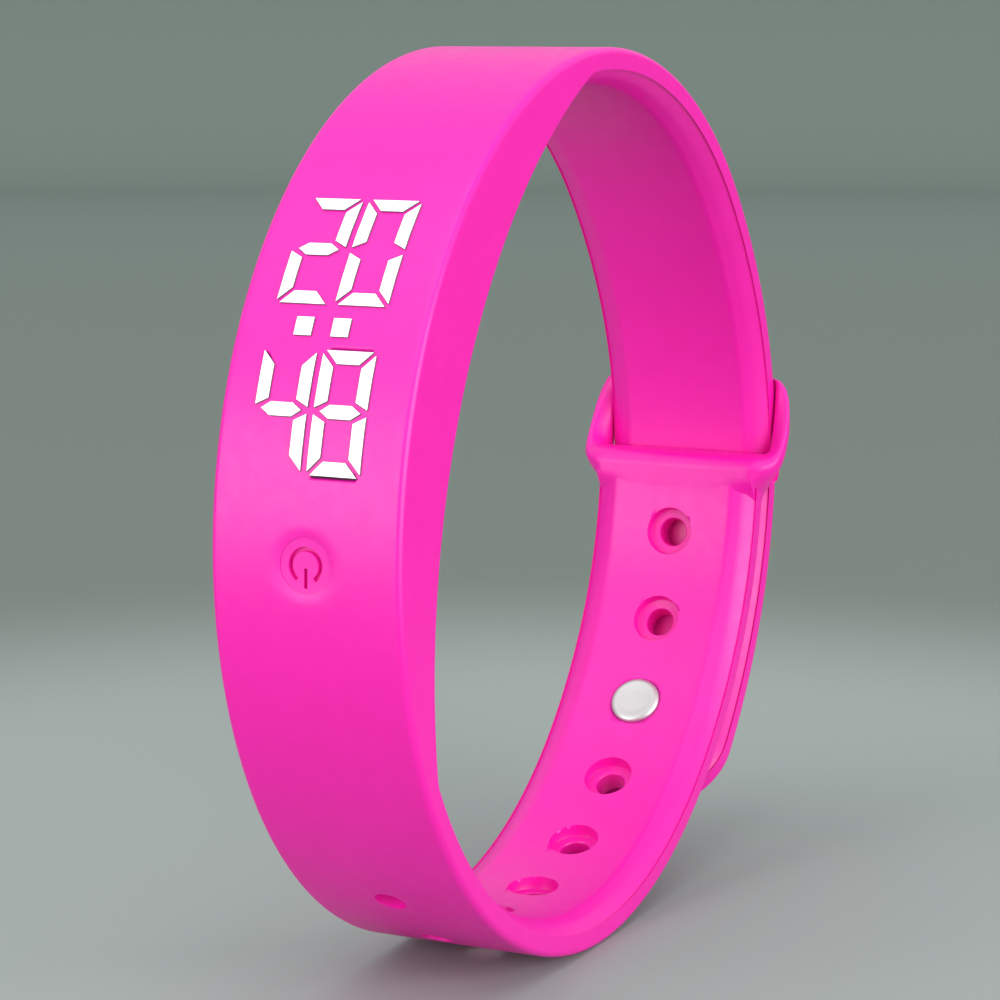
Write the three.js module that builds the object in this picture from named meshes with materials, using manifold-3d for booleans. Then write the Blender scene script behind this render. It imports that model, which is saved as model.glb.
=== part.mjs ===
// Silicone fitness band with a snap-in electronics capsule, standing upright on its lower strap.
// Millimetres. +Z up, -X is the display side, +X the clasp side, the band's width runs along Y.
import * as THREE from 'three';
import { mergeVertices } from 'three/addons/utils/BufferGeometryUtils.js';
import Module from 'manifold-3d';

const wasm = await Module();
wasm.setup();

// ---------- driving dimensions ----------
const GAP = 0.3;                 // between neighbouring solids
const RING_R = 37.6;             // outer radius of the closed band
const BAND_WIDTH = 16;
const STRAP_THICK = 3;
const ARC_STEP = 3;              // degrees per facet on the band

const POD_ANGLE = 152;           // direction of the display's middle, from +X towards +Z
const POD_BACK_R = 48.4;         // the wrist side of the pod is a flatter arc than the ring
const POD_BACK_SHIFT = 19.6;     // its centre lies this far behind the ring's centre
const SKIN = 1.2;                // silicone over the capsule

const UPPER_END = -7.5;          // the upper strap leaves the keeper loop here, in degrees
const LOWER_END = 358.5;         // the lower strap ends in the keeper loop here
const CLOSED_SHIFT = 1.75;       // how far the upper strap swings out to pass over the lower one
const LOWER_DIP = 1.6;           // how far the lower strap dips in under it

const HOLE_COUNT = 9;
const HOLE_FIRST = -13.6;
const HOLE_PITCH = 14.6;         // degrees
const HOLE_R = 1.3;
const RECESS_R = 2.2;
const RECESS_DEPTH = 1;
const STUD_HOLE = 2;             // index of the hole that holds the stud
const STRETCHED_HOLE_R = 3.3;    // that hole as the stud's head opens it

const LOOP_WIDTH = 20;
const LOOP_OUTER = 41;           // furthest reach of the keeper loop on the clasp side
const PASSAGE = [-18, 22];       // the angles between which the loop is hollow
const TAIL_TIP = -56;            // degrees
const TAIL_ROOT_GAP = 0.5;       // degrees between the upper strap's end and the tail
const TIP_SPAN = 12;             // degrees of the tail that its rounded tip takes up
const POST_BORE_R = 1.75;
const CAP_SEAT_R = 2.8;
const CAP_SEAT_FLOOR = 38.4;

const CAPSULE_FRONT_R = 36.1;
const CAPSULE_TOP = -19;         // capsule ends, along the band from the display's middle
const CAPSULE_BOTTOM = 22;
const CAPSULE_HALF = 6.2;
const SHELL = 0.8;
const BACK_THICK = 1.2;
const SCREW_HEAD_R = 1;
const SCREW_SHANK_R = 0.6;
const BOSS_R = 1.3;

const DIGIT_WIDTH = 4.4;
const DIGIT_HEIGHT = 9.2;
const DIGIT_PITCH = 4.95;
const ROW_OFFSET = 6.4;
const FACE_U = -0.3;             // the digits sit a little to the left of the band's middle
const FACE_V = -0.2;             // and a little below the display's
const DOT_SIZE = 1.45;
const DOT_SPREAD = 1.55;
const BAR = 1.02;                // stroke width of a segment
const BAR_GAP = 0.26;            // half the gap between neighbouring segments, along the mitre
const LAND = 0.16;               // how far a lit segment stands proud of the skin
const SLOT_CLEAR = 0.12;         // silicone to segment, all round
const LIT_ROWS = [['abged', 'abcdef'], ['fgbc', 'abcdefg']];

const BUTTON_ANGLE = 27.5;       // from the display's middle, along the band
const BUTTON_R = 2.1;
const PLUNGER_R = 0.8;
const STEM_R = 0.6;

const SILICONE = 0xf520b4;

// ---------- small tools ----------
const rad = THREE.MathUtils.degToRad;
const smooth = (x, a, b) => THREE.MathUtils.smoothstep(x, a, b);
const corners = (pairs) => pairs.map(([x, y]) => new THREE.Vector2(x, y));
const polar = (r, deg) => new THREE.Vector2(r * Math.cos(rad(deg)), r * Math.sin(rad(deg)));

function solid(geometry) {
  const bare = geometry.index ? geometry.toNonIndexed() : geometry.clone();
  bare.deleteAttribute('normal');
  bare.deleteAttribute('uv');
  const merged = mergeVertices(bare, 1e-4);
  return new wasm.Manifold(new wasm.Mesh({
    numProp: 3,
    vertProperties: new Float32Array(merged.attributes.position.array),
    triVerts: new Uint32Array(merged.index.array),
  }));
}

function geometryOf(manifold) {
  const mesh = manifold.getMesh();
  const geometry = new THREE.BufferGeometry();
  geometry.setAttribute('position', new THREE.BufferAttribute(mesh.vertProperties, 3));
  geometry.setIndex(new THREE.BufferAttribute(mesh.triVerts, 1));
  geometry.computeVertexNormals();
  return geometry;
}

// An outline in the X-Z plane, given a width along Y.
function slab(points, width) {
  const geometry = new THREE.ExtrudeGeometry(new THREE.Shape(points), { depth: width, bevelEnabled: false });
  geometry.translate(0, 0, -width / 2);
  geometry.rotateX(Math.PI / 2);
  return solid(geometry);
}

// A curved strip between two radius functions of the angle.
function strip(inner, outer, from, to, width) {
  const steps = Math.max(2, Math.round((to - from) / ARC_STEP));
  const angles = Array.from({ length: steps + 1 }, (_, i) => from + (to - from) * i / steps);
  const points = angles.map((a) => polar(outer(a), a));
  points.push(...angles.reverse().map((a) => polar(inner(a), a)));
  return slab(points, width);
}

const always = (r) => () => r;

function box(x0, x1, y0, y1, z0, z1) {
  const geometry = new THREE.BoxGeometry(x1 - x0, y1 - y0, z1 - z0);
  geometry.translate((x0 + x1) / 2, (y0 + y1) / 2, (z0 + z1) / 2);
  return solid(geometry);
}

// A round solid about +X: pairs of (radius, x), starting and ending on the axis.
function turned(profile, sides = 24) {
  const geometry = new THREE.LatheGeometry(profile.map(([r, x]) => new THREE.Vector2(r, x)), sides);
  geometry.rotateZ(-Math.PI / 2);
  return solid(geometry);
}

const rod = (r, x0, x1, sides = 24) => turned([[0, x0], [r, x0], [r, x1], [0, x1]], sides);

// Turns a solid made about +X to the direction at an angle in the X-Z plane.
const aim = (manifold, deg) => manifold.rotate([0, -deg, 0]);

function joined(list) {
  return list.reduce((whole, piece) => whole.add(piece));
}

// ---------- assembly frames ----------
const band = new THREE.Group();
band.position.set((RING_R - LOOP_OUTER) / 2, 0, RING_R);
const pod = new THREE.Group();   // +X points out through the display, +Z down along the band
pod.rotation.y = -rad(POD_ANGLE);
const stud = new THREE.Group();  // +X points out along the stud
const studAngle = HOLE_FIRST - STUD_HOLE * HOLE_PITCH;
stud.rotation.y = -rad(studAngle);
band.add(pod, stud);

function place(group, name, manifold, color, roughness, metalness = 0) {
  const material = new THREE.MeshStandardMaterial({ color, roughness, metalness });
  const mesh = new THREE.Mesh(geometryOf(manifold), material);
  mesh.name = name;
  group.add(mesh);
}

// ---------- the band's lines ----------
const podBack = (fromPod) => {
  const c = POD_BACK_SHIFT * Math.cos(rad(fromPod));
  return -c + Math.sqrt(c * c - POD_BACK_SHIFT ** 2 + POD_BACK_R ** 2);
};
const bandOuter = (deg) => RING_R
  + CLOSED_SHIFT * (1 - smooth(deg, -8, 40))
  - LOWER_DIP * smooth(deg, 260, 328);
const bandInner = (deg) => {
  const strap = bandOuter(deg) - STRAP_THICK;
  return Math.abs(deg - POD_ANGLE) < 80 ? Math.min(strap, podBack(deg - POD_ANGLE)) : strap;
};

// ---------- band moulding: upper strap, pod sleeve, lower strap with holes, keeper loop ----------
function digitSegment(id) {
  const [w, h, t, g] = [DIGIT_WIDTH, DIGIT_HEIGHT, BAR, BAR_GAP];
  const m = h / 2;
  const shapes = {
    a: [[g, h], [w - g, h], [w - t - g, h - t], [t + g, h - t]],
    d: [[t + g, t], [w - t - g, t], [w - g, 0], [g, 0]],
    f: [[0, h - g], [t, h - t - g], [t, m + t / 2 + g], [0, m + g]],
    e: [[0, m - g], [t, m - t / 2 - g], [t, t + g], [0, g]],
    g: [[2 * g, m], [t + g, m + t / 2], [w - t - g, m + t / 2],
      [w - 2 * g, m], [w - t - g, m - t / 2], [t + g, m - t / 2]],
  };
  shapes.b = shapes.f.map(([u, v]) => [w - u, v]).reverse();
  shapes.c = shapes.e.map(([u, v]) => [w - u, v]).reverse();
  return corners(shapes[id].map(([u, v]) => [u - w / 2, v - m]));
}

// Moves each corner of a convex outline outwards, so that every edge shifts by the same distance.
function grown(points, distance) {
  const area = THREE.ShapeUtils.area(points);
  const ring = area < 0 ? [...points].reverse() : points;
  return ring.map((p, i) => {
    const before = ring[(i + ring.length - 1) % ring.length];
    const after = ring[(i + 1) % ring.length];
    const d1 = p.clone().sub(before).normalize();
    const d2 = after.clone().sub(p).normalize();
    const n1 = new THREE.Vector2(d1.y, -d1.x);
    const n2 = new THREE.Vector2(d2.y, -d2.x);
    return p.clone().addScaledVector(n1.add(n2), distance / (1 + n1.clone().sub(n2).dot(n2)));
  });
}

// A segment as a prism along the pod's +X; u runs towards -Y and v towards -Z, as the face is read.
function prism(points, u, v, x0, x1) {
  const outline = points.map((p) => new THREE.Vector2(-(p.x + u), -(p.y + v)));
  const shape = new THREE.Shape(outline);
  const geometry = new THREE.ExtrudeGeometry(shape, { depth: x1 - x0, bevelEnabled: false });
  geometry.applyMatrix4(new THREE.Matrix4().set(0, 0, 1, x0, 1, 0, 0, 0, 0, 1, 0, 0, 0, 0, 0, 1));
  return solid(geometry);
}

const dot = corners([[-1, -1], [1, -1], [1, 1], [-1, 1]]).map((p) => p.multiplyScalar(DOT_SIZE / 2));
const displayCells = [];
LIT_ROWS.forEach((row, r) => row.forEach((lit, column) => {
  for (const id of 'abcdefg') {
    displayCells.push({
      points: digitSegment(id),
      u: FACE_U + (column - 0.5) * DIGIT_PITCH,
      v: FACE_V + (0.5 - r) * 2 * ROW_OFFSET,
      lit: lit.includes(id),
    });
  }
}));
for (const side of [-1, 1]) {
  displayCells.push({ points: dot, u: 2 * FACE_U + side * DOT_SPREAD, v: FACE_V, lit: true });
}

// The keeper loop seen from the side, from its top round the wrist side to the clasp side.
const loopOutline = [
  [38.5, 7.1], [36, 3.9], [33.4, -0.6], [33, -2.4], [33.2, -5.2], [35.9, -4.6],
  [37.4, -1.6], [39.4, 0.3], [40.7, 1.9], [LOOP_OUTER, 3.4], [40.6, 5], [39.7, 6.5],
];

function keeperLoop() {
  const passageWidth = BAND_WIDTH + 2 * GAP;
  const passage = strip((a) => bandInner(a) - GAP, (a) => bandOuter(a) + GAP, ...PASSAGE, passageWidth);
  // the lip in front of the passage is low, so that the strap can be drawn out over it
  const overLip = slab(corners([[30, -1.1], [36.6, -0.3], [36.6, 8], [30, 8]]), passageWidth);
  return slab(corners(loopOutline), LOOP_WIDTH)
    .subtract(passage)
    .subtract(overLip);
}

function bandMoulding() {
  const straps = strip(bandInner, bandOuter, UPPER_END, LOWER_END, BAND_WIDTH);
  const strapEnd = strip(bandInner, bandOuter, 352, LOWER_END, BAND_WIDTH);
  const body = straps.add(keeperLoop()).add(strapEnd);
  const cuts = [];
  for (let i = 0; i < HOLE_COUNT; i += 1) {
    const deg = HOLE_FIRST - i * HOLE_PITCH;
    const inner = bandInner(deg + 360);
    const [start, ledge, end] = [inner - 1, inner + RECESS_DEPTH, inner + STRAP_THICK + GAP / 2];
    const hole = i === STUD_HOLE
      ? rod(STRETCHED_HOLE_R, start, end)
      : turned([[0, start], [RECESS_R, start], [RECESS_R, ledge], [HOLE_R, ledge], [HOLE_R, end], [0, end]]);
    cuts.push(aim(hole, deg));
  }
  const pocket = strip(always(20), always(RING_R - SKIN), -40, 45, 2 * (CAPSULE_HALF + GAP))
    .intersect(box(20, 40, -9, 9, CAPSULE_TOP - GAP, CAPSULE_BOTTOM + GAP));
  const slots = displayCells.filter((cell) => cell.lit)
    .map((cell) => prism(grown(cell.points, SLOT_CLEAR), cell.u, cell.v, 30, 40));
  const buttonHole = aim(rod(BUTTON_R + GAP, 35, 39, 32), BUTTON_ANGLE);
  cuts.push(...[pocket, buttonHole, ...slots].map((cut) => cut.rotate([0, -POD_ANGLE, 0])));
  return cuts.reduce((whole, cut) => whole.subtract(cut), body);
}
place(band, 'silicone_band', bandMoulding(), SILICONE, 0.55);

// ---------- strap tail and the stud that closes the band ----------
const tailOuter = (deg) => Math.max(RING_R + CLOSED_SHIFT, bandOuter(deg + 360) + GAP + 0.05 + STRAP_THICK);

function strapTail() {
  const root = UPPER_END - TAIL_ROOT_GAP;
  const tipStart = TAIL_TIP + TIP_SPAN;
  const blade = strip((a) => tailOuter(a) - STRAP_THICK, tailOuter, TAIL_TIP, root, BAND_WIDTH);
  // the tip is rounded in plan by a round cutter that stands on the strap
  const tip = new THREE.Shape();
  tip.absarc(0, 0, BAND_WIDTH / 2, 0, Math.PI * 2);
  const cutter = new THREE.ExtrudeGeometry(tip, { depth: 60, bevelEnabled: false, curveSegments: 16 });
  cutter.rotateY(Math.PI / 2);
  const round = solid(cutter).rotate([0, -tipStart, 0]);
  const shank = strip(always(20), always(60), tipStart, root + 5, BAND_WIDTH + 1);
  const bore = turned([
    [0, 34], [POST_BORE_R, 34], [POST_BORE_R, CAP_SEAT_FLOOR], [CAP_SEAT_R, CAP_SEAT_FLOOR],
    [CAP_SEAT_R, LOOP_OUTER], [0, LOOP_OUTER],
  ]);
  return blade.intersect(round.add(shank)).subtract(aim(bore, studAngle));
}
place(band, 'strap_tail', strapTail(), SILICONE, 0.55);

// The post's mushroom head faces the wrist; its shank ends inside the cap's hollow collar.
const capTop = tailOuter(studAngle) + 0.1;
const STUD_METAL = 0xdedede;
const postProfile = [
  [0, 32.75], [1.9, 32.75], [2.3, 33.05], [2.3, 33.55], [2, 33.85], [0.85, 33.85], [0.85, 38.3], [0, 38.3],
];
const capProfile = [
  [1.15, 36.6], [1.45, 36.6], [1.45, 38.7], [2.5, 38.7], [2.5, capTop - 0.2], [2.2, capTop],
  [0, capTop], [0, 38.6], [1.15, 38.6], [1.15, 36.6],
];
place(stud, 'stud_post', turned(postProfile, 32), STUD_METAL, 0.3, 0.9);
place(stud, 'stud_cap', turned(capProfile, 32), STUD_METAL, 0.3, 0.9);

// ---------- capsule shells ----------
const innerHalf = CAPSULE_HALF - SHELL;
const DISPLAY_HALF_LENGTH = 11.3;
const CONTACT_R = 0.8;
const screwSpots = [];
for (const z of [-17.2, 20.2]) {
  screwSpots.push([z, 4.55], [z, -4.55]);
}
const contactSpots = [[13.5, 2.6], [13.5, -2.6]];
const capsuleBlock = box(20, 40, -CAPSULE_HALF, CAPSULE_HALF, CAPSULE_TOP, CAPSULE_BOTTOM);

// Everything further out than the pod's back arc moved outwards by a distance.
function beyondBack(distance, width) {
  return strip((a) => podBack(a) + distance, always(50), -48, 48, width);
}
const aheadOf = (distance, width) => strip(always(15), (a) => podBack(a) + distance, -48, 48, width);

// Puts a solid made about +X, with x measured from the back arc's centre, at a spot on that arc.
function onBack(manifold, [z, y]) {
  const tilt = Math.asin(z / POD_BACK_R) * 180 / Math.PI;
  return manifold.rotate([0, -tilt, 0]).translate([-POD_BACK_SHIFT, y, 0]);
}
const atScrews = (manifold) => joined(screwSpots.map((spot) => onBack(manifold, spot)));

function capsuleFront() {
  const block = capsuleBlock
    .intersect(strip(always(20), always(CAPSULE_FRONT_R), -45, 45, 20))
    .intersect(beyondBack(BACK_THICK + GAP, 20));
  const cavity = box(20, 40, -innerHalf, innerHalf, CAPSULE_TOP + SHELL, CAPSULE_BOTTOM - SHELL)
    .intersect(strip(always(20), always(CAPSULE_FRONT_R - SHELL), -45, 45, 20));
  const windowHalf = DISPLAY_HALF_LENGTH + GAP;
  const window = box(30, 40, -innerHalf, innerHalf, -windowHalf, windowHalf);
  const plungerHole = aim(rod(PLUNGER_R + GAP, 33, 38), BUTTON_ANGLE);
  const mouth = POD_BACK_R + BACK_THICK + GAP;
  const bosses = atScrews(rod(BOSS_R, mouth - 1, mouth + 7, 16)).intersect(block);
  const threads = atScrews(rod(SCREW_SHANK_R + GAP, mouth - 2, mouth + 2.6, 16));
  return block.subtract(cavity).subtract(window).add(bosses).subtract(plungerHole).subtract(threads);
}

function capsuleBack() {
  const plate = capsuleBlock.intersect(beyondBack(0, 20)).intersect(aheadOf(BACK_THICK, 20));
  const face = POD_BACK_R;
  const sunk = face + 0.75;
  const [headHole, shankHole] = [SCREW_HEAD_R + GAP, SCREW_SHANK_R + GAP];
  const seat = turned([
    [0, face - 2], [headHole, face - 2], [headHole, sunk], [shankHole, sunk],
    [shankHole, face + 3], [0, face + 3],
  ], 16);
  const pinHole = rod(CONTACT_R + GAP, face - 2, face + 3, 20);
  const pinHoles = joined(contactSpots.map((spot) => onBack(pinHole, spot)));
  return plate.subtract(atScrews(seat)).subtract(pinHoles);
}
const DARK = 0x23242a;
place(pod, 'capsule_front', capsuleFront(), DARK, 0.5);
place(pod, 'capsule_back', capsuleBack(), DARK, 0.45);

// A thin frame inside the shell's mouth that runs round the inner side of each screw boss.
function gasket() {
  const half = innerHalf - GAP;
  const [top, bottom] = [CAPSULE_TOP + SHELL + GAP, CAPSULE_BOTTOM - SHELL - GAP];
  const [wide, thick] = [0.7, 0.8];
  const mouth = POD_BACK_R + BACK_THICK;
  const zone = box(20, 40, -half, half, top, bottom);
  const discs = (r) => atScrews(rod(r, mouth - 1, mouth + 4, 20));
  return zone.subtract(box(19, 41, wide - half, half - wide, top + wide, bottom - wide))
    .add(discs(BOSS_R + GAP + wide).intersect(zone))
    .subtract(discs(BOSS_R + GAP))
    .intersect(beyondBack(BACK_THICK + GAP, 20))
    .intersect(aheadOf(BACK_THICK + GAP + thick, 20));
}

screwSpots.forEach((spot, i) => {
  const head = POD_BACK_R + 0.02;
  const slot = box(head - 0.5, head + 0.2, -0.15, 0.15, -2, 2);
  const profile = [
    [0, head], [SCREW_HEAD_R, head], [SCREW_HEAD_R, head + 0.42], [SCREW_SHANK_R, head + 0.42],
    [SCREW_SHANK_R, head + 3.6], [0, head + 3.6],
  ];
  const screw = turned(profile, 16).subtract(slot);
  place(pod, `back_screw_${i + 1}`, onBack(screw, spot), 0xb9bcc0, 0.3, 0.9);
});

// ---------- display stack ----------
const displayHalf = innerHalf - GAP;
const displayZone = box(25, 40, -displayHalf, displayHalf, -DISPLAY_HALF_LENGTH, DISPLAY_HALF_LENGTH);
const layer = (r0, r1) => strip(always(r0), always(r1), -30, 30, 14);

function lightGuide() {
  const plate = layer(35.1, 35.7).intersect(displayZone);
  const cells = displayCells.map((cell) => prism(cell.points, cell.u, cell.v, 31, 40)
    .intersect(layer(35.4, cell.lit ? RING_R + LAND : CAPSULE_FRONT_R)));
  return joined([plate, ...cells]);
}

function lightBox() {
  const cells = displayCells.map((cell) => prism(grown(cell.points, -SLOT_CLEAR), cell.u, cell.v, 30, 40));
  return layer(34, 34.8).intersect(displayZone).subtract(joined(cells));
}
place(pod, 'segment_light_guide', lightGuide(), 0xffffff, 0.35);
place(pod, 'segment_light_box', lightBox(), 0xe9e9e6, 0.6);
place(pod, 'led_flex_circuit', layer(33.4, 33.7).intersect(displayZone), 0x1d5b3a, 0.5);
place(pod, 'capsule_gasket', gasket(), 0x2b2b2e, 0.8);

// ---------- battery and vibration motor ----------
place(pod, 'battery_cell', box(30.5, 32, -4.3, 4.3, -8.2, 7.2), 0xb7bac0, 0.35, 0.4);
place(pod, 'battery_foam', box(32.3, 32.7, -3.6, 3.6, -4.4, 3.4), 0x3a3a3e, 0.95);

const MOTOR_X = 30.3;
const MOTOR_Z = -13.4;
const MOTOR_BORE_R = 0.65;
const motorPart = (manifold) => manifold.rotate([0, 0, 90]).translate([MOTOR_X, 0, MOTOR_Z]);
const can = rod(1.8, -4, 1).subtract(rod(MOTOR_BORE_R, -3.2, 2));
const weight = rod(1.7, 1.6, 4)
  .subtract(rod(MOTOR_BORE_R, 1, 5, 16))
  .subtract(box(0, 6, 0.3, 2.3, -3, 3));
place(pod, 'motor_can', motorPart(can), 0xc4c6c9, 0.3, 0.9);
place(pod, 'motor_shaft', motorPart(rod(0.35, -2.9, 4.2, 16)), 0xd5d7da, 0.25, 1);
place(pod, 'motor_weight', motorPart(weight), 0x8d8f93, 0.35, 0.9);

// ---------- main board, its chips, and the switch under the power button ----------
const board = new THREE.Group();
const BOARD_ANGLE = 25;
board.rotation.y = -rad(BOARD_ANGLE);
pod.add(board);
place(board, 'main_board', box(32.2, 32.8, -4.1, 4.1, -4.6, 4.4), 0x14553a, 0.5);
place(board, 'microcontroller', box(31.3, 31.9, -1.7, 1.7, -4.2, -1), 0x1b1c1f, 0.5);
place(board, 'motion_sensor', box(31.3, 31.9, 2.1, 3.9, -3.6, -1.8), 0x26272a, 0.5);
place(board, 'clock_crystal', box(31.3, 31.9, -3.9, -2.1, -3.4, -2.2), 0xc9cbce, 0.3, 0.8);

const key = new THREE.Group();
key.rotation.y = -rad(BUTTON_ANGLE);
pod.add(key);
const switchBody = box(33.3, 34.5, -1.6, 1.6, -1.2, 1.9).subtract(rod(STEM_R + GAP, 33.8, 35));
const plungerProfile = [
  [0, 34.3], [STEM_R, 34.3], [STEM_R, 34.8], [PLUNGER_R, 34.8], [PLUNGER_R, 36.45], [0, 36.45],
];
place(key, 'tact_switch', switchBody, 0x2a2b2f, 0.5);
place(key, 'switch_plunger', turned(plungerProfile), 0xe8e8e4, 0.5);

function powerButton() {
  const pad = rod(BUTTON_R, 36.8, 37.4, 32);
  const ring = new THREE.Shape();
  const [open, outer, inner] = [0.62, 1.35, 1.1];
  ring.absarc(0, 0, outer, open, Math.PI * 2 - open, false);
  ring.absarc(0, 0, inner, Math.PI * 2 - open, open, true);
  const groove = new THREE.ExtrudeGeometry(ring, { depth: 1, bevelEnabled: false, curveSegments: 20 });
  // the sign's open side points down the band
  groove.rotateZ(Math.PI / 2);
  groove.applyMatrix4(new THREE.Matrix4().set(0, 0, 1, 37.15, 1, 0, 0, 0, 0, 1, 0, 0, 0, 0, 0, 1));
  return pad.subtract(solid(groove)).subtract(box(37.15, 38, -0.12, 0.12, 0.2, 1.6));
}
place(key, 'power_button', powerButton(), SILICONE, 0.55);

// ---------- charging contacts on the wrist side ----------
contactSpots.forEach((spot, i) => {
  const contact = rod(CONTACT_R, POD_BACK_R + 0.1, POD_BACK_R + 1.8, 20);
  place(pod, `charge_contact_${i + 1}`, onBack(contact, spot), 0xd9b25a, 0.25, 1);
});

export default band;
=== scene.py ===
import math

import bmesh
import bpy
from mathutils import Matrix, Vector


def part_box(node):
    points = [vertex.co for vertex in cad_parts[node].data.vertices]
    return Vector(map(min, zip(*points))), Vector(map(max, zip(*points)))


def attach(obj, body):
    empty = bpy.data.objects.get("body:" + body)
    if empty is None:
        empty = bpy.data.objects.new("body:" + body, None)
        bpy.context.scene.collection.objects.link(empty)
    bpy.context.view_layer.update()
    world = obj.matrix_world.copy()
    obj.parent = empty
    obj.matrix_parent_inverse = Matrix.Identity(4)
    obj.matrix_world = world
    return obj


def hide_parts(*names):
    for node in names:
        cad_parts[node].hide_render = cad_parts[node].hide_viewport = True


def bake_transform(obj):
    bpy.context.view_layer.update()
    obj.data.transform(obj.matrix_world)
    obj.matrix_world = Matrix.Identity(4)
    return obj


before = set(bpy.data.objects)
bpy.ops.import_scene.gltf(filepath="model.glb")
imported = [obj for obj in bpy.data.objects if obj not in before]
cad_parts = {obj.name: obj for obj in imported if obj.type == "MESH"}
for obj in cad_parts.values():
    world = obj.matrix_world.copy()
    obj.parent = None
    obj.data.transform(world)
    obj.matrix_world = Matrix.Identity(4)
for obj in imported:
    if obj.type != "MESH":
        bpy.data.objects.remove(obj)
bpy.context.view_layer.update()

# ---------------------------------------------------------------- table and light
# The band stands in the middle of a wide pale tabletop that darkens to grey-green further out.
# Three broad soft lamps light the display side, the top and the near edge.
band_low, band_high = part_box("silicone_band")
middle = (band_low + band_high) / 2

camera_data = bpy.data.cameras.new("camera")
camera_data.sensor_width = 36
camera_data.lens = 109.48
camera_data.clip_start = 0.01
camera = bpy.data.objects.new("camera", camera_data)
bpy.context.scene.collection.objects.link(camera)
camera.location = (-0.23039, -0.10807, 0.07799)
camera_aim = Vector((-0.00579, 0.00022, 0.0380))
camera.rotation_euler = (camera_aim - camera.location).to_track_quat("-Z", "Y").to_euler()
bpy.context.scene.camera = camera
bpy.context.scene.view_settings.view_transform = "Standard"


def new_piece(name, bm):
    mesh = bpy.data.meshes.new(name)
    bm.to_mesh(mesh)
    bm.free()
    piece = bpy.data.objects.new(name, mesh)
    bpy.context.scene.collection.objects.link(piece)
    return piece


def new_material(name):
    material = bpy.data.materials.new(name)
    material.use_nodes = True
    tree = material.node_tree
    return material, tree, tree.nodes["Principled BSDF"]


def round_table():
    """A wide flat tabletop whose far rim bends up into a low wall, the same from every side."""
    flat_end, bend, rim = 1.1, 0.12, 0.16
    bm = bmesh.new()
    centre = bm.verts.new((0, 0, 0))
    start = bm.verts.new((flat_end, 0, 0))
    bm.edges.new((centre, start))
    turned_up = bmesh.ops.spin(
        bm, geom=[start], cent=(flat_end, 0, bend), axis=(0, -1, 0), angle=math.radians(90), steps=12
    )
    last = [part for part in turned_up["geom_last"] if isinstance(part, bmesh.types.BMVert)][0]
    top = bm.verts.new(last.co + Vector((0, 0, rim)))
    bm.edges.new((last, top))
    profile = list(bm.verts) + list(bm.edges)
    bmesh.ops.spin(
        bm, geom=profile, cent=(0, 0, 0), axis=(0, 0, 1), angle=math.tau, steps=96, use_merge=True
    )
    bmesh.ops.remove_doubles(bm, verts=bm.verts, dist=1e-6)
    bmesh.ops.recalc_face_normals(bm, faces=bm.faces)
    return new_piece("tabletop", bm)


def tabletop_paint():
    """Pale where the band stands, grey-green behind it, and a little lighter again at the rim."""
    material, tree, shader = new_material("tabletop_lacquer")
    place = tree.nodes.new("ShaderNodeTexCoord")
    level = tree.nodes.new("ShaderNodeVectorMath")
    level.operation = "MULTIPLY"
    level.inputs[1].default_value = (1, 1, 0)
    away = tree.nodes.new("ShaderNodeVectorMath")
    away.operation = "LENGTH"
    darkening = tree.nodes.new("ShaderNodeMapRange")
    darkening.interpolation_type = "SMOOTHSTEP"
    darkening.inputs["From Min"].default_value = 0.086
    darkening.inputs["From Max"].default_value = 0.171
    outward = tree.nodes.new("ShaderNodeMapRange")
    outward.inputs["From Min"].default_value = 0.16
    outward.inputs["From Max"].default_value = 1.15
    far_tint = tree.nodes.new("ShaderNodeMix")
    far_tint.data_type = "RGBA"
    far_tint.inputs[6].default_value = (0.178, 0.212, 0.185, 1)
    far_tint.inputs[7].default_value = (0.275, 0.335, 0.30, 1)
    tint = tree.nodes.new("ShaderNodeMix")
    tint.data_type = "RGBA"
    tint.inputs[6].default_value = (0.33, 0.375, 0.355, 1)
    tree.links.new(place.outputs["Object"], level.inputs[0])
    tree.links.new(level.outputs["Vector"], away.inputs[0])
    tree.links.new(away.outputs["Value"], darkening.inputs["Value"])
    tree.links.new(away.outputs["Value"], outward.inputs["Value"])
    tree.links.new(outward.outputs["Result"], far_tint.inputs[0])
    tree.links.new(far_tint.outputs[2], tint.inputs[7])
    tree.links.new(darkening.outputs["Result"], tint.inputs[0])
    tree.links.new(tint.outputs[2], shader.inputs["Base Color"])
    shader.inputs["Roughness"].default_value = 0.8
    return material


tabletop = round_table()
tabletop.data.shade_smooth()
tabletop.data.materials.append(tabletop_paint())


def softbox(name, place, size, power):
    data = bpy.data.lights.new(name, "AREA")
    data.shape = "DISK"
    data.size = size
    data.energy = power
    lamp = bpy.data.objects.new(name, data)
    lamp.location = place
    lamp.rotation_euler = (middle - Vector(place)).to_track_quat("-Z", "Y").to_euler()
    bpy.context.scene.collection.objects.link(lamp)


softbox("display_softbox", (-0.54, 0.24, 0.03), 0.54, 2.8)
softbox("overhead_softbox", (-0.27, 0.03, 0.55), 0.64, 1.2)
softbox("side_softbox", (-0.2, -0.56, 0.1), 0.6, 4.2)
world = bpy.data.worlds.new("studio_air")
world.use_nodes = True
world.node_tree.nodes["Background"].inputs["Color"].default_value = (0.95, 0.98, 1, 1)
world.node_tree.nodes["Background"].inputs["Strength"].default_value = 0.72
bpy.context.scene.world = world

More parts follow.
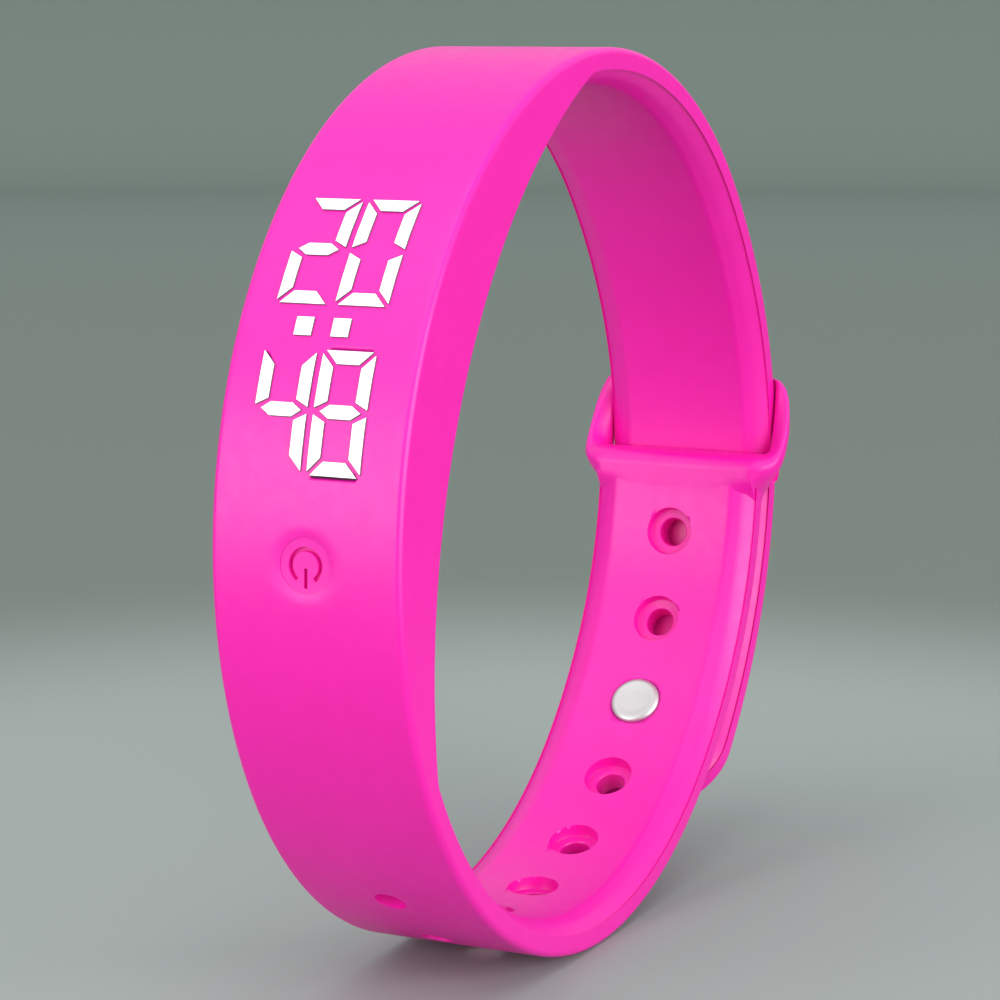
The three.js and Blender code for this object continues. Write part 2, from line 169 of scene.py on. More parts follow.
# ---------------------------------------------------------------- band moulding
# The strap is one compression moulding in soft magenta silicone: the upper strap, the sleeve
# that holds the capsule, and the lower strap with its row of punched and counterbored holes.
MM = 0.001
RING_R = 37.6 * MM
STRAP_HALF = 8 * MM
STRAP_THICK = 3 * MM
POD_ANGLE = 152
POD_BACK_R = 48.4 * MM
POD_BACK_SHIFT = 19.6 * MM
LOOP_REACH = 41 * MM
ring_centre = Vector((band_high.x - LOOP_REACH, 0, RING_R))


def smooth(value, start, stop):
    """Rises from 0 at start to 1 at stop, level at both ends."""
    part = min(1.0, max(0.0, (value - start) / (stop - start)))
    return part * part * (3 - 2 * part)


def band_outer(deg):
    """Radius of the outer face: swollen under the upper strap's end, drawn in along the holes."""
    return RING_R + 1.75 * MM * (1 - smooth(deg, -8, 40)) - 1.6 * MM * smooth(deg, 260, 328)


def band_inner(deg):
    strap = band_outer(deg) - STRAP_THICK
    from_pod = math.radians(deg - POD_ANGLE)
    if abs(from_pod) > math.radians(80):
        return strap
    across = POD_BACK_SHIFT * math.cos(from_pod)
    return min(strap, math.sqrt(across**2 - POD_BACK_SHIFT**2 + POD_BACK_R**2) - across)


def arc(centre, radius, start, stop, steps):
    """Points of an arc, with the angles in degrees."""
    turns = [math.radians(start + (stop - start) * i / steps) for i in range(steps + 1)]
    return [(centre[0] + radius * math.cos(a), centre[1] + radius * math.sin(a)) for a in turns]


def strap_edge():
    """Half the strap's section, from the middle of its outer face round to the middle of its inner
    face: (inset from the edge, depth, and whether the depth is measured from the inner face)."""
    corner, heel, bevel_wide, bevel_deep = 0.55 * MM, 0.25 * MM, 2.2 * MM, 1.0 * MM
    flat = [8 - 0.5 * step for step in range(15)]
    points = [(inset * MM, 0.0, 0) for inset in flat]
    points += [(x, y, 0) for x, y in arc((corner, corner), corner, -90, -180, 6)]
    points += [(0.0, 1.2 * MM, 0)]
    points += [(0.0, bevel_deep + heel, 1)]
    points += [(x, y, 1) for x, y in arc((heel, bevel_deep + 0.4 * heel), heel, 180, 114, 3)[1:]]
    slope = bevel_deep / bevel_wide
    points += [(part * MM, (bevel_wide - part * MM) * slope, 1) for part in (0.8, 1.4, 1.95)]
    points += [(bevel_wide, 0.03 * MM, 1), (2.5 * MM, 0.0, 1)]
    points += [(3 * MM + 0.5 * MM * step, 0.0, 1) for step in range(11)]
    return points


def strap_strip(bm, stations, outer, inner, cut_angle, cut_slant):
    """A strip of skin round one long edge of the strap. A station is the angle on the ring, and the
    direction to the edge as (along the strap, across the strap), which turns round the tail's tip."""
    edge = strap_edge()
    rows, columns = len(stations), len(edge)
    made = bmesh.ops.create_grid(bm, x_segments=rows - 1, y_segments=columns - 1, size=0.5)
    for vert in made["verts"]:
        deg, along, across = stations[round((vert.co.x + 0.5) * (rows - 1))]
        inset, depth, from_inner = edge[round((vert.co.y + 0.5) * (columns - 1))]
        reach = STRAP_HALF - inset
        place = deg - math.degrees(reach * along / outer(deg))
        thick = outer(place) - inner(place)
        sunk = thick - depth if from_inner else depth
        place += cut_slant * (0.5 - sunk / thick) * (1 - smooth(abs(deg - cut_angle), 0, 9))
        if along:
            radius = outer(deg) - sunk
        elif from_inner:
            radius = inner(place) + depth
        else:
            radius = outer(place) - depth
        turn = math.radians(place)
        vert.co = ring_centre + Vector(
            (radius * math.cos(turn), reach * across, radius * math.sin(turn))
        )


def closed_strap(bm):
    """Joins the strips along the middle of the strap and closes the ends."""
    bmesh.ops.remove_doubles(bm, verts=bm.verts, dist=1e-6)
    open_edges = [edge for edge in bm.edges if edge.is_boundary]
    bmesh.ops.holes_fill(bm, edges=open_edges, sides=0)
    bmesh.ops.recalc_face_normals(bm, faces=bm.faces)


def between(start, stop, step):
    """Even steps from start to stop, each about as long as asked."""
    count = max(1, round(abs(stop - start) / step))
    return [start + (stop - start) * i / count for i in range(count + 1)]


CUT_ANGLE = -0.25
CUT_SLANT = 6.5
LOWER_END = 356.2
BUTTON_ANGLE = 179.5
DIMPLE_DEPTH = 0.2 * MM
bm = bmesh.new()
band_stations = between(CUT_ANGLE + 0.05, BUTTON_ANGLE - 6, 1.2)
band_stations += between(BUTTON_ANGLE - 6, BUTTON_ANGLE + 6, 0.5)[1:]
band_stations += between(BUTTON_ANGLE + 6, LOWER_END, 1.2)[1:]
for side in (1, -1):
    stations = [(deg, 0, side) for deg in band_stations]
    strap_strip(bm, stations, band_outer, band_inner, CUT_ANGLE, CUT_SLANT)
closed_strap(bm)
# the shallow dimple that the power button sits in
dimple_floor, dimple_rim, skin_depth = 1.75 * MM, 2.95 * MM, 1 * MM
button_turn = math.radians(BUTTON_ANGLE)
button_out = Vector((math.cos(button_turn), 0, math.sin(button_turn)))
for vert in bm.verts:
    from_centre = vert.co - ring_centre
    height = from_centre.dot(button_out)
    if height > RING_R - skin_depth:
        away = (from_centre - button_out * height).length
        vert.co -= button_out * DIMPLE_DEPTH * (1 - smooth(away, dimple_floor, dimple_rim))
band = new_piece("band_moulding", bm)


def pour(bm, part):
    """Adds one bmesh to another."""
    mesh = bpy.data.meshes.new("part")
    part.to_mesh(mesh)
    part.free()
    bm.from_mesh(mesh)
    bpy.data.meshes.remove(mesh)


def turned(bm, profile, matrix, sides=46):
    """A round solid: pairs of (radius, distance along the axis) in mm, swept about local X.
    The sheet is wrapped, not spun, so that its faces come in the same order each time."""
    part = bmesh.new()
    last = len(profile) - 1
    sheet = bmesh.ops.create_grid(part, x_segments=sides, y_segments=last, size=0.5)
    for vert in sheet["verts"]:
        turn = math.tau * (vert.co.x + 0.5)
        radius, along = profile[round((vert.co.y + 0.5) * last)]
        vert.co = Vector((along, radius * math.cos(turn), radius * math.sin(turn))) * MM
    bmesh.ops.remove_doubles(part, verts=part.verts, dist=2e-7)
    bmesh.ops.transform(part, matrix=matrix, verts=part.verts)
    bmesh.ops.recalc_face_normals(part, faces=part.faces)
    pour(bm, part)


def radial(deg, radius=0.0, side=0.0):
    """The frame whose X points out along the ring's radius at an angle."""
    turn = Matrix.Rotation(-math.radians(deg), 4, "Y")
    return Matrix.Translation(ring_centre) @ turn @ Matrix.Translation((radius, side, 0))


pod_frame = radial(POD_ANGLE)
HOLE_COUNT = 9
HOLE_FIRST = 346.4
HOLE_PITCH = 14.6
STUD_HOLE = 2
hole_angles = [HOLE_FIRST - HOLE_PITCH * i for i in range(HOLE_COUNT)]
stud_angle = hole_angles[STUD_HOLE]

cutters = bmesh.new()
hole_profile = [
    (0, -1), (2.22, -1), (2.22, 0.3), (2.2, 0.86), (2.15, 0.95), (2.05, 1), (1.5, 1), (1.37, 1.04),
    (1.3, 1.14), (1.3, 3.6), (0, 3.6),
]
stud_hole_profile = [(0, -1), (2.36, -1), (2.36, 0.9), (1.75, 0.9), (1.75, 3.6), (0, 3.6)]
for index, deg in enumerate(hole_angles):
    profile = stud_hole_profile if index == STUD_HOLE else hole_profile
    turned(cutters, profile, radial(deg, band_inner(deg)))
turned(cutters, [(0, 34), (2.11, 34), (2.11, 38), (0, 38)], radial(BUTTON_ANGLE), sides=56)

# the pocket that the capsule snaps into from the wrist side
hollow = bmesh.new()
pocket = bmesh.ops.create_grid(hollow, x_segments=2, y_segments=20, size=0.5)
pocket_half, pocket_top, pocket_bottom, pocket_r = 6.5 * MM, -19.3 * MM, 22.3 * MM, 36.4 * MM
for vert in pocket["verts"]:
    along = pocket_top + (pocket_bottom - pocket_top) * (vert.co.y + 0.5)
    vert.co = (math.sqrt(pocket_r**2 - along**2), vert.co.x * 2 * pocket_half, along)
mouth = bmesh.ops.extrude_face_region(hollow, geom=list(hollow.faces))
mouth_verts = [part for part in mouth["geom"] if isinstance(part, bmesh.types.BMVert)]
pocket_mouth = 22 * MM
for vert in mouth_verts:
    vert.co.x = pocket_mouth
bmesh.ops.transform(hollow, matrix=pod_frame, verts=hollow.verts)
bmesh.ops.recalc_face_normals(hollow, faces=hollow.faces)


def welded(node):
    """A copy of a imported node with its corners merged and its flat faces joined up."""
    bm = bmesh.new()
    bm.from_mesh(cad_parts[node].data)
    bmesh.ops.remove_doubles(bm, verts=bm.verts, dist=1e-6)
    bmesh.ops.dissolve_limit(bm, angle_limit=math.radians(0.5), verts=bm.verts, edges=bm.edges)
    return bm


# the openings for the lit segments, a hair wider than the segments themselves
segments = welded("segment_light_guide")
segments.normal_update()
slot_clearance = 0.02 * MM
outward_steps = [vert.normal * vert.calc_shell_factor() * slot_clearance for vert in segments.verts]
for vert, step in zip(segments.verts, outward_steps):
    vert.co += step


def carve(piece, cutter):
    """Cuts one closed shape out of a piece and throws the cutter away."""
    cut = piece.modifiers.new("carve", "BOOLEAN")
    cut.operation = "DIFFERENCE"
    cut.solver = "EXACT"
    cut.object = cutter
    evaluated = piece.evaluated_get(bpy.context.evaluated_depsgraph_get())
    carved = bpy.data.meshes.new_from_object(evaluated)
    piece.modifiers.clear()
    plain = piece.data
    name = plain.name
    piece.data = carved
    bpy.data.meshes.remove(plain)
    carved.name = name
    bpy.data.objects.remove(cutter)


def shade(piece, sharp_angle, even=False):
    """Smooth shading with crisp edges; even lets the large faces set the shading round a cut."""
    piece.data.shade_smooth()
    piece.data.set_sharp_from_angle(angle=math.radians(sharp_angle))
    if even:
        normals = piece.modifiers.new("even_normals", "WEIGHTED_NORMAL")
        normals.keep_sharp = True
        normals.weight = 80


for name, cutter in (("pocket", hollow), ("holes", cutters), ("segment_slots", segments)):
    carve(band, new_piece(name, cutter))
# slivers that the cuts left round the holes are closed up
trimmed = bmesh.new()
trimmed.from_mesh(band.data)
bmesh.ops.remove_doubles(trimmed, verts=trimmed.verts, dist=0.02 * MM)
bmesh.ops.dissolve_degenerate(trimmed, dist=0.01 * MM, edges=trimmed.edges)
trimmed.to_mesh(band.data)
trimmed.free()
shade(band, 28, even=True)


def grain(tree, scale, detail, low, high):
    """A noise on the piece's own coordinates, mapped to a range."""
    place = tree.nodes.new("ShaderNodeTexCoord")
    noise = tree.nodes.new("ShaderNodeTexNoise")
    noise.inputs["Scale"].default_value = scale
    noise.inputs["Detail"].default_value = detail
    span = tree.nodes.new("ShaderNodeMapRange")
    span.inputs["To Min"].default_value = low
    span.inputs["To Max"].default_value = high
    span.inputs["From Min"].default_value = 0.3
    span.inputs["From Max"].default_value = 0.7
    tree.links.new(place.outputs["Object"], noise.inputs["Vector"])
    tree.links.new(noise.outputs["Fac"], span.inputs["Value"])
    return span.outputs["Result"]


def tinted(tree, shader, factor, dark, light):
    """Lets the base colour wander between two close tones."""
    mix = tree.nodes.new("ShaderNodeMix")
    mix.data_type = "RGBA"
    mix.inputs[6].default_value = (*dark, 1)
    mix.inputs[7].default_value = (*light, 1)
    tree.links.new(factor, mix.inputs[0])
    tree.links.new(mix.outputs[2], shader.inputs["Base Color"])


def embossed(tree, shader, height, distance, strength):
    """Raises a fine pattern off the surface."""
    bump = tree.nodes.new("ShaderNodeBump")
    bump.inputs["Distance"].default_value = distance
    bump.inputs["Strength"].default_value = strength
    tree.links.new(height, bump.inputs["Height"])
    tree.links.new(bump.outputs["Normal"], shader.inputs["Normal"])


def silicone_paint():
    """Magenta silicone off a bead-blasted mould: dull sheen, very fine grain, a little light inside."""
    material, tree, shader = new_material("magenta_silicone")
    tinted(tree, shader, grain(tree, 420, 3, 0, 1), (0.875, 0.003, 0.395), (0.905, 0.004, 0.415))
    tree.links.new(grain(tree, 900, 2, 0.37, 0.44), shader.inputs["Roughness"])
    embossed(tree, shader, grain(tree, 5200, 2, 0, 1), 0.012 * MM, 0.25)
    shader.inputs["Subsurface Weight"].default_value = 0.1
    shader.inputs["Subsurface Radius"].default_value = (1.0, 0.12, 0.5)
    shader.inputs["Subsurface Scale"].default_value = 0.8 * MM
    shader.inputs["Specular IOR Level"].default_value = 0.52
    return material


silicone = silicone_paint()
band.data.materials.clear()
band.data.materials.append(silicone)
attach(band, "band")
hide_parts("silicone_band")

# ---------------------------------------------------------------- keeper loop
# The end of the lower strap swells into a tilted loop that the upper strap is threaded through.
# It is part of the same silicone moulding, with soft rounded lips.
# All its numbers are in mm, x outwards from the ring's centre and z up.
LIP_TOP, LIP_ROOT = -0.75, -5.4
LOOP_IN, LOOP_OUT, LOOP_HALF, LIP_CORNER, BAR_CORNER = 33.0, 41.0, 10.0, 2.7, 4.6


def loop_plan():
    """Half the loop seen from above, from the middle of the lip round to the middle of the bar."""
    lip_end, bar_start = LOOP_HALF - LIP_CORNER, LOOP_HALF - BAR_CORNER
    cheek_start, cheek_stop, cheek_steps = LOOP_IN + LIP_CORNER, LOOP_OUT - BAR_CORNER, 6
    cheek_step = (cheek_stop - cheek_start) / cheek_steps
    lip = [(LOOP_IN, y) for y in between(0, lip_end, lip_end / 8)]
    lip_corner = arc((cheek_start, lip_end), LIP_CORNER, 180, 90, 8)
    cheek = [(cheek_start + cheek_step * i, LOOP_HALF) for i in range(1, cheek_steps)]
    bar_corner = arc((cheek_stop, bar_start), BAR_CORNER, 90, 0, 8)
    bar = [(LOOP_OUT, y) for y in between(bar_start, 0, bar_start / 8)]
    return lip + lip_corner[1:] + cheek + bar_corner + bar[1:]


def wall_heights(reach):
    """The lower and upper edge of the loop's wall, which climbs from the lip to the clasp side."""
    return LIP_ROOT + 6.3 * smooth(reach, 34.0, 39.4), LIP_TOP + 7.1 * smooth(reach, 33.3, 40.2)


def loop_section(thick, tall, rounding):
    """The wall's section in unit square terms: (across from the outside, up), as a closed ring."""
    wide, high = rounding / thick, rounding / tall
    walls = [0.05, 0.2, 0.35, 0.5, 0.65, 0.8, 0.95]
    points = [(0.0, high + (1 - 2 * high) * part) for part in walls]
    points += [(wide + wide * x, 1 - high + high * y) for x, y in arc((0, 0), 1, 180, 90, 5)]
    points += [(1 - wide + wide * x, 1 - high + high * y) for x, y in arc((0, 0), 1, 90, 0, 5)]
    points += [(1.0, high + (1 - 2 * high) * part) for part in reversed(walls)]
    points += [(1 - wide + wide * x, high + high * y) for x, y in arc((0, 0), 1, 0, -90, 5)]
    points += [(wide + wide * x, high + high * y) for x, y in arc((0, 0), 1, -90, -180, 5)]
    return points


def slot_point(reach, side):
    """The point of the slot's wall that faces a point of the loop's outside."""
    slot_in, slot_out, slot_half, corner = 35.9, 39.5, 8.2, 0.8
    x = slot_in + (reach - LOOP_IN) / (LOOP_OUT - LOOP_IN) * (slot_out - slot_in)
    if reach < LOOP_IN + 0.001:
        return x, side * (slot_half - corner) / (LOOP_HALF - LIP_CORNER)
    if reach > LOOP_OUT - 0.001:
        return x, side * (slot_half - corner) / (LOOP_HALF - BAR_CORNER)
    past = max(0.0, corner - min(x - slot_in, slot_out - x))
    return x, math.copysign(slot_half - corner + math.sqrt(corner**2 - past**2), side)


outside = loop_plan()
outside += [(x, -y) for x, y in outside[-2:0:-1]]
inside = [slot_point(x, y) for x, y in outside]
bm = bmesh.new()
ring_steps = len(outside)
section_steps = len(loop_section(1, 1, 0.1))
grid = bmesh.ops.create_grid(bm, x_segments=ring_steps, y_segments=section_steps, size=0.5)
for vert in grid["verts"]:
    station = round((vert.co.x + 0.5) * ring_steps) % ring_steps
    out_x, out_y = outside[station]
    in_x, in_y = inside[station]
    low, high = wall_heights(out_x)
    thick = math.hypot(in_x - out_x, in_y - out_y)
    section = loop_section(thick, high - low, min(0.95, 0.46 * thick))
    across, up = section[round((vert.co.y + 0.5) * section_steps) % section_steps]
    x = out_x + (in_x - out_x) * across
    y = out_y + (in_y - out_y) * across
    on_lip = 1 - smooth(out_x, 33.2, 36.5)
    z = low + (high - low) * up + 0.55 * across * up * on_lip
    # the wall follows the ring's curve, and its clasp side is crowned
    if z < 0:
        x -= z * z / 66
    if z > 0:
        x -= 0.95 * (z / 6.5) ** 2 * smooth(x, 36, 39.5)
    crown = (1 - across) * 0.75 * ((z - 3.2) / 3.3) ** 2 * smooth(out_x, 38, 41)
    x -= min(crown, 0.7)
    # below the lip the loop narrows and sinks into the strap, where the bevelled panel begins
    narrow = 1 - 0.21 * smooth(-z, 1.0 - 3.0 * smooth(out_x, 35, 38), 4.8)
    least = 7.85 + 0.85 * smooth(out_x, 35.6, 38)
    if across < 0.5:
        widest = max(abs(out_y) * narrow, least)
    else:
        widest = 7.7 + 2.3 * smooth(z, -4, -0.5) + 2.3 * smooth(in_x, 36.8, 38.2)
    y = math.copysign(min(abs(y), widest), y)
    sunk = 0.09 * smooth(-z, 2.4, 5.4) + 1.25 * smooth(abs(y), 4.9, 8.2) * smooth(-z, 2.6, 4.9)
    x += (sunk - 0.03) * (1 - across) * on_lip
    vert.co = ring_centre + Vector((x, y, z)) * MM
bmesh.ops.remove_doubles(bm, verts=bm.verts, dist=1e-6)
bmesh.ops.recalc_face_normals(bm, faces=bm.faces)
keeper = new_piece("keeper_loop", bm)
shade(keeper, 60)
keeper.data.materials.append(silicone)
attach(keeper, "band")

# ---------------------------------------------------------------- strap tail
# The free end of the upper strap comes out under the loop and is pressed flat on the lower strap.
# Same silicone moulding as the band. The real tail peels away with the stud in it; this skin is left in
# place and only the stud rides on the tail body.
TAIL_ROUND_START = -44.35


def tail_outer(deg):
    return max(RING_R + 1.75 * MM, band_outer(deg + 360) + 0.35 * MM + STRAP_THICK)


def tail_line(deg):
    """The band's own outer face down to the loop, and the tail's below it."""
    return band_outer(deg) if deg > -8 else tail_outer(deg)


def tail_inner(deg):
    return tail_line(deg) - STRAP_THICK


bm = bmesh.new()
straight = between(CUT_ANGLE - 0.05, TAIL_ROUND_START, 1.1)
tip_turns = [math.pi * step / 28 for step in range(1, 28)]
stations = [(deg, 0, 1) for deg in straight]
stations += [(TAIL_ROUND_START, math.sin(turn), math.cos(turn)) for turn in tip_turns]
stations += [(deg, 0, -1) for deg in reversed(straight)]
strap_strip(bm, stations, tail_line, tail_inner, CUT_ANGLE, CUT_SLANT)
closed_strap(bm)
tail = new_piece("strap_tail_skin", bm)
cutters = bmesh.new()
cap_seat = tail_outer(stud_angle - 360) / MM
seat_profile = [
    (0, 34), (1.75, 34), (1.75, cap_seat - 0.72), (2.62, cap_seat - 0.72), (2.62, cap_seat + 0.6),
    (0, cap_seat + 0.6),
]
turned(cutters, seat_profile, radial(stud_angle), sides=48)
bmesh.ops.recalc_face_normals(cutters, faces=cutters.faces)
carve(tail, new_piece("tail_cutters", cutters))
shade(tail, 28, even=True)
tail.data.materials.clear()
tail.data.materials.append(silicone)
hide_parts("strap_tail")
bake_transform(tail)

# ---------------------------------------------------------------- press stud
# A nickel-plated post with a mushroom head snaps through the strap's hole from the tail side.
# Its cap is riveted into a counterbore in the tail.


def nickel_paint():
    material, tree, shader = new_material("satin_nickel")
    tinted(tree, shader, grain(tree, 700, 2, 0, 1), (0.66, 0.655, 0.645), (0.70, 0.695, 0.685))
    tree.links.new(grain(tree, 3800, 3, 0.42, 0.5), shader.inputs["Roughness"])
    embossed(tree, shader, grain(tree, 6500, 2, 0, 1), 0.003 * MM, 0.1)
    shader.inputs["Metallic"].default_value = 1.0
    return material


nickel = nickel_paint()
bm = bmesh.new()
post_profile = [
    (0, 32.78), (0.9, 32.77), (1.55, 32.79), (1.78, 32.74), (1.95, 32.75), (2.14, 32.82), (2.26, 32.95),
    (2.3, 33.1), (2.3, 33.45), (2.24, 33.62), (2.1, 33.74), (1.9, 33.8), (0.95, 33.85),
    (0.86, 33.95), (0.85, 38.2), (0.78, 38.28), (0, 38.3),
]
turned(bm, post_profile, radial(stud_angle), sides=64)
bmesh.ops.recalc_face_normals(bm, faces=bm.faces)
post = new_piece("stud_mushroom", bm)
bm = bmesh.new()
cap_profile = [
    (0, 38.6), (1.15, 38.6), (1.15, 36.62), (1.2, 36.6), (1.4, 36.6), (1.45, 36.66), (1.45, 38.7),
    (2.44, 38.7), (2.5, 38.76), (2.5, cap_seat - 0.1), (2.46, cap_seat - 0.01),
    (2.34, cap_seat + 0.06), (2.1, cap_seat + 0.1), (1.2, cap_seat + 0.1), (0, cap_seat + 0.1),
]
turned(bm, cap_profile, radial(stud_angle), sides=64)
bmesh.ops.recalc_face_normals(bm, faces=bm.faces)
cap = new_piece("stud_rivet_cap", bm)
for piece, node in ((post, "stud_post"), (cap, "stud_cap")):
    shade(piece, 40)
    piece.data.materials.append(nickel)
    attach(piece, "tail")
    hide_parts(node)

# ---------------------------------------------------------------- capsule shells and their seal
# The electronics sit in a two-part capsule moulded in dark polycarbonate. The back is held by
# four small pan-head screws, and a rubber frame seals the joint.


def softened(name, node, width, segments=2):
    """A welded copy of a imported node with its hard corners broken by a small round."""
    bm = welded(node)
    corner_angle = math.radians(25)
    corners = [
        edge for edge in bm.edges
        if edge.is_manifold and edge.calc_face_angle() > corner_angle
    ]
    bmesh.ops.bevel(
        bm, geom=corners, offset=width * MM, affect="EDGES", segments=segments, profile=0.5,
        material=-1, clamp_overlap=True,
    )
    piece = new_piece(name, bm)
    shade(piece, 38)
    return piece


def moulded_paint(name, dark, light, rough, bump=0.3, scale=2600):
    """An injection-moulded plastic with a spark-eroded texture."""
    material, tree, shader = new_material(name)
    tinted(tree, shader, grain(tree, 400, 2, 0, 1), dark, light)
    tree.links.new(grain(tree, 1500, 2, rough - 0.05, rough + 0.07), shader.inputs["Roughness"])
    embossed(tree, shader, grain(tree, scale, 3, 0, 1), 0.01 * MM, bump)
    return material


def metal_paint(name, dark, light, rough, scale=3000):
    """A brushed or tumbled metal with a very fine grain."""
    material, tree, shader = new_material(name)
    tinted(tree, shader, grain(tree, 900, 2, 0, 1), dark, light)
    tree.links.new(grain(tree, scale, 3, rough - 0.06, rough + 0.08), shader.inputs["Roughness"])
    embossed(tree, shader, grain(tree, scale * 1.7, 2, 0, 1), 0.005 * MM, 0.2)
    shader.inputs["Metallic"].default_value = 1.0
    return material


def finish(piece, material, body, node):
    """Paints a piece and hands it to its body in place of its node."""
    piece.data.materials.clear()
    piece.data.materials.append(material)
    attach(piece, body)
    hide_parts(node)


shell = moulded_paint("dark_shell", (0.012, 0.012, 0.016), (0.020, 0.020, 0.026), 0.42)
finish(softened("capsule_front_shell", "capsule_front", 0.12), shell, "capsule", "capsule_front")
finish(softened("capsule_back_cover", "capsule_back", 0.14), shell, "capsule", "capsule_back")
seal = moulded_paint("seal_rubber", (0.015, 0.015, 0.016), (0.03, 0.03, 0.032), 0.7, 0.5, 4200)
finish(softened("capsule_seal", "capsule_gasket", 0.12), seal, "capsule", "capsule_gasket")
steel = metal_paint("screw_steel", (0.42, 0.42, 0.43), (0.58, 0.58, 0.6), 0.3)
for index in range(1, 5):
    screw = softened(f"cover_screw_{index}", f"back_screw_{index}", 0.05)
    finish(screw, steel, "capsule", f"back_screw_{index}")

# ---------------------------------------------------------------- display
# A milky light guide carries one raised land for each lit segment up through the skin.
# A white box keeps the cells apart, over a flexible circuit with its light sources.
lit = softened("segment_lands", "segment_light_guide", 0.05)


def lit_paint():
    """Milky polycarbonate, brightest where the light comes out."""
    material, tree, shader = new_material("milky_lands")
    tinted(tree, shader, grain(tree, 1200, 2, 0, 1), (0.93, 0.93, 0.91), (0.97, 0.97, 0.96))
    tree.links.new(grain(tree, 2400, 2, 0.34, 0.42), shader.inputs["Roughness"])
    shader.inputs["Emission Color"].default_value = (1, 1, 0.98, 1)
    shader.inputs["Emission Strength"].default_value = 0.35
    return material


# painted shade: the lands' sides get a dark grey paint in place of the milky guide's own colour
painted_shade_sides = moulded_paint("land_sides_painted_shade", (0.16, 0.13, 0.15), (0.22, 0.19, 0.21), 0.45)
finish(lit, lit_paint(), "capsule", "segment_light_guide")
lit.data.materials.append(painted_shade_sides)
# the sides of the lands, down to just under the skin, are painted dark grey as painted shade; the guide
# is one milky part and only its tops glow
skin_r = band_outer(POD_ANGLE)
land_root = 1.2 * MM
for face in lit.data.polygons:
    out = face.center - ring_centre
    out.y = 0
    facing_out = abs(face.normal.dot(out.normalized()))
    if facing_out < 0.35 and out.length > skin_r - land_root:
        face.material_index = 1

box_white = moulded_paint("light_box_white", (0.78, 0.78, 0.76), (0.86, 0.86, 0.85), 0.5)
segment_box = softened("segment_box", "segment_light_box", 0.05)
finish(segment_box, box_white, "capsule", "segment_light_box")


def circuit_paint(name, lacquer, copper, scale):
    """Lacquered circuit board: tracks show as a slightly raised, lighter pattern."""
    material, tree, shader = new_material(name)
    place = tree.nodes.new("ShaderNodeTexCoord")
    tracks = tree.nodes.new("ShaderNodeTexBrick")
    tracks.inputs["Scale"].default_value = scale
    tracks.inputs["Mortar Size"].default_value = 0.06
    tracks.inputs["Color1"].default_value = (*lacquer, 1)
    tracks.inputs["Color2"].default_value = (*[0.8 * part for part in lacquer], 1)
    tracks.inputs["Mortar"].default_value = (*copper, 1)
    tree.links.new(place.outputs["Object"], tracks.inputs["Vector"])
    tree.links.new(tracks.outputs["Color"], shader.inputs["Base Color"])
    tree.links.new(grain(tree, 900, 2, 0.26, 0.4), shader.inputs["Roughness"])
    embossed(tree, shader, tracks.outputs["Fac"], 0.02 * MM, 0.5)
    return material


flex = circuit_paint("flex_lacquer", (0.01, 0.09, 0.045), (0.03, 0.16, 0.07), 900)
finish(softened("led_flex", "led_flex_circuit", 0.04), flex, "capsule", "led_flex_circuit")

# ---------------------------------------------------------------- battery and buzzer
# A foil-wrapped lithium cell on a foam pad, and a pressed-steel motor can whose shaft
# turns a half-round tungsten weight.
foil = metal_paint("cell_foil", (0.55, 0.56, 0.58), (0.66, 0.67, 0.69), 0.36, 1400)
finish(softened("battery_pouch", "battery_cell", 0.35, 4), foil, "capsule", "battery_cell")
sponge = moulded_paint("pad_foam", (0.03, 0.03, 0.034), (0.055, 0.055, 0.06), 0.85, 0.9, 3400)
finish(softened("battery_pad", "battery_foam", 0.08), sponge, "capsule", "battery_foam")
bright = metal_paint("pressed_steel", (0.6, 0.6, 0.61), (0.72, 0.72, 0.74), 0.24)
finish(softened("buzzer_can", "motor_can", 0.15, 3), bright, "capsule", "motor_can")
finish(softened("buzzer_shaft", "motor_shaft", 0.06), bright, "rotor", "motor_shaft")
tungsten = metal_paint("sintered_weight", (0.26, 0.26, 0.27), (0.36, 0.36, 0.37), 0.4)
weight = softened("buzzer_weight", "motor_weight", 0.12, 3)
finish(weight, tungsten, "rotor", "motor_weight")

# ---------------------------------------------------------------- main board and switch
# A small green board carries the controller, a motion sensor and a crystal can.
# The tact switch stands on its own foot, and its plunger reaches up to the power button.
board = circuit_paint("board_lacquer", (0.008, 0.11, 0.05), (0.02, 0.2, 0.09), 520)
finish(softened("circuit_board", "main_board", 0.06), board, "capsule", "main_board")
epoxy = moulded_paint("chip_epoxy", (0.013, 0.013, 0.014), (0.022, 0.022, 0.023), 0.5, 0.25, 5200)
for name, node in (("controller_chip", "microcontroller"), ("motion_chip", "motion_sensor")):
    finish(softened(name, node, 0.06), epoxy, "capsule", node)
crystal = softened("crystal_can", "clock_crystal", 0.15, 3)
finish(crystal, bright, "capsule", "clock_crystal")
switch_black = moulded_paint("switch_body", (0.02, 0.02, 0.022), (0.032, 0.032, 0.035), 0.45)
switch = softened("press_switch", "tact_switch", 0.08)
finish(switch, switch_black, "capsule", "tact_switch")
plunger_white = moulded_paint("plunger_nylon", (0.72, 0.72, 0.7), (0.8, 0.8, 0.78), 0.42)
plunger = softened("press_plunger", "switch_plunger", 0.06)
finish(plunger, plunger_white, "plunger", "switch_plunger")

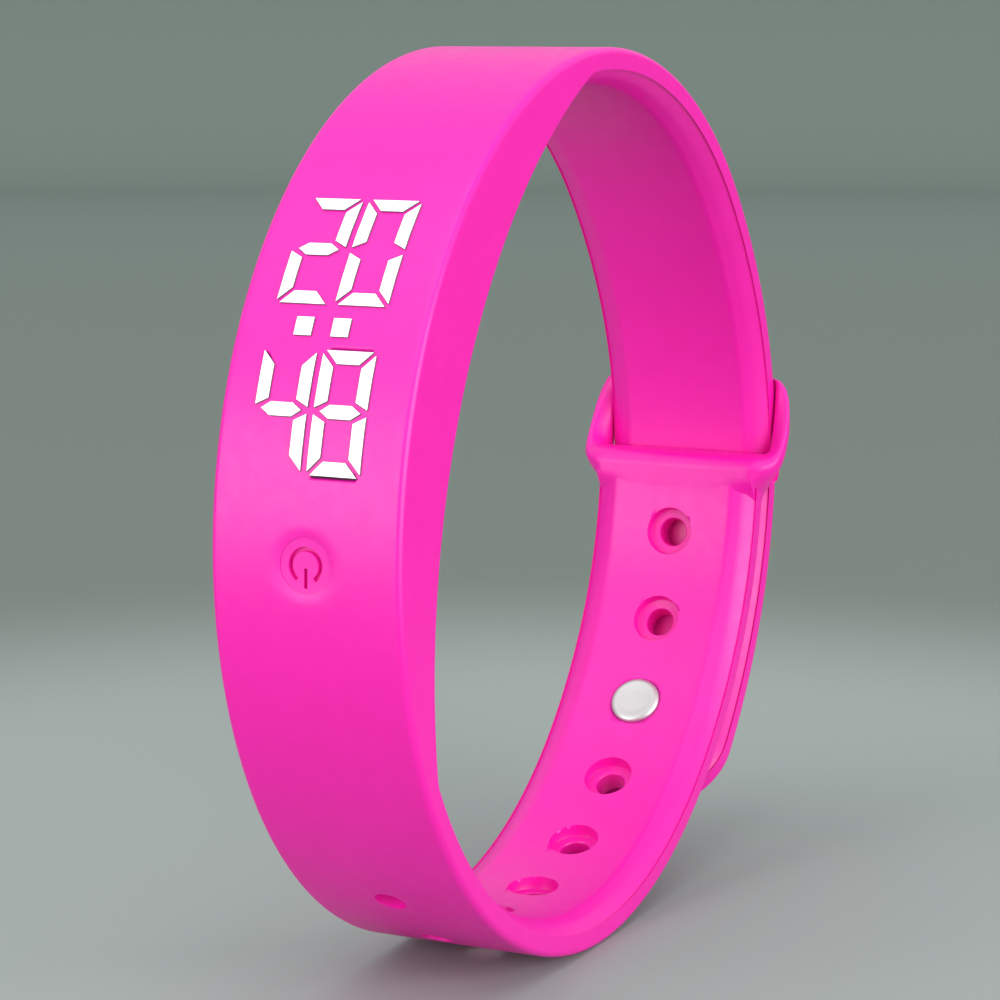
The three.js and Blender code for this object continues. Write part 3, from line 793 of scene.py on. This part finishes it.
# ---------------------------------------------------------------- power button
# A round pad of the same silicone, hinged on its skin, with the power sign sunk into it.
# The sign's open side faces down the band.
bm = bmesh.new()
pad_profile = [
    (0, 36.8), (2.02, 36.8), (2.08, 36.86), (2.1, 36.95), (2.1, 37.37), (2.09, 37.38), (2.0, 37.375),
    (1.6, 37.36), (1.2, 37.355), (0.5, 37.35), (0, 37.35),
]
turned(bm, pad_profile, radial(BUTTON_ANGLE), sides=64)
bmesh.ops.recalc_face_normals(bm, faces=bm.faces)
button = new_piece("power_pad", bm)
cutters = bmesh.new()
sign_r, sign_half, sign_open = 1.24 * MM, 0.14 * MM, 0.6
groove_depth = 36.98 * MM
start = [
    cutters.verts.new((x, 0, r)) for x, r in
    ((groove_depth, sign_r - sign_half), (groove_depth, sign_r + sign_half),
     (37.6 * MM, sign_r + sign_half * 1.5), (37.6 * MM, sign_r - sign_half * 1.5))
]
face = cutters.faces.new(start)
bmesh.ops.rotate(cutters, verts=start, cent=(0, 0, 0), matrix=Matrix.Rotation(sign_open, 3, "X"))
bmesh.ops.spin(
    cutters, geom=[face, *face.edges, *start], cent=(0, 0, 0), axis=(1, 0, 0),
    angle=math.tau - 2 * sign_open, steps=48,
)
bar = bmesh.ops.create_cube(cutters, size=1)
bmesh.ops.scale(cutters, verts=bar["verts"], vec=(1.0 * MM, 2 * sign_half, 1.5 * MM))
bmesh.ops.translate(cutters, verts=bar["verts"], vec=(groove_depth + 0.5 * MM, 0, 0.95 * MM))
bmesh.ops.transform(cutters, matrix=radial(BUTTON_ANGLE), verts=cutters.verts)
bmesh.ops.recalc_face_normals(cutters, faces=cutters.faces)
carve(button, new_piece("sign_cutter", cutters))
shade(button, 32, even=True)
finish(button, silicone, "button", "power_button")

# ---------------------------------------------------------------- charging contacts
# Two gold-plated pins moulded into the back cover, for a clip-on charger.
gold = metal_paint("gold_plate", (0.72, 0.46, 0.16), (0.82, 0.55, 0.22), 0.26)
for index in (1, 2):
    node = f"charge_contact_{index}"
    finish(softened(f"charging_pin_{index}", node, 0.08, 3), gold, "capsule", node)
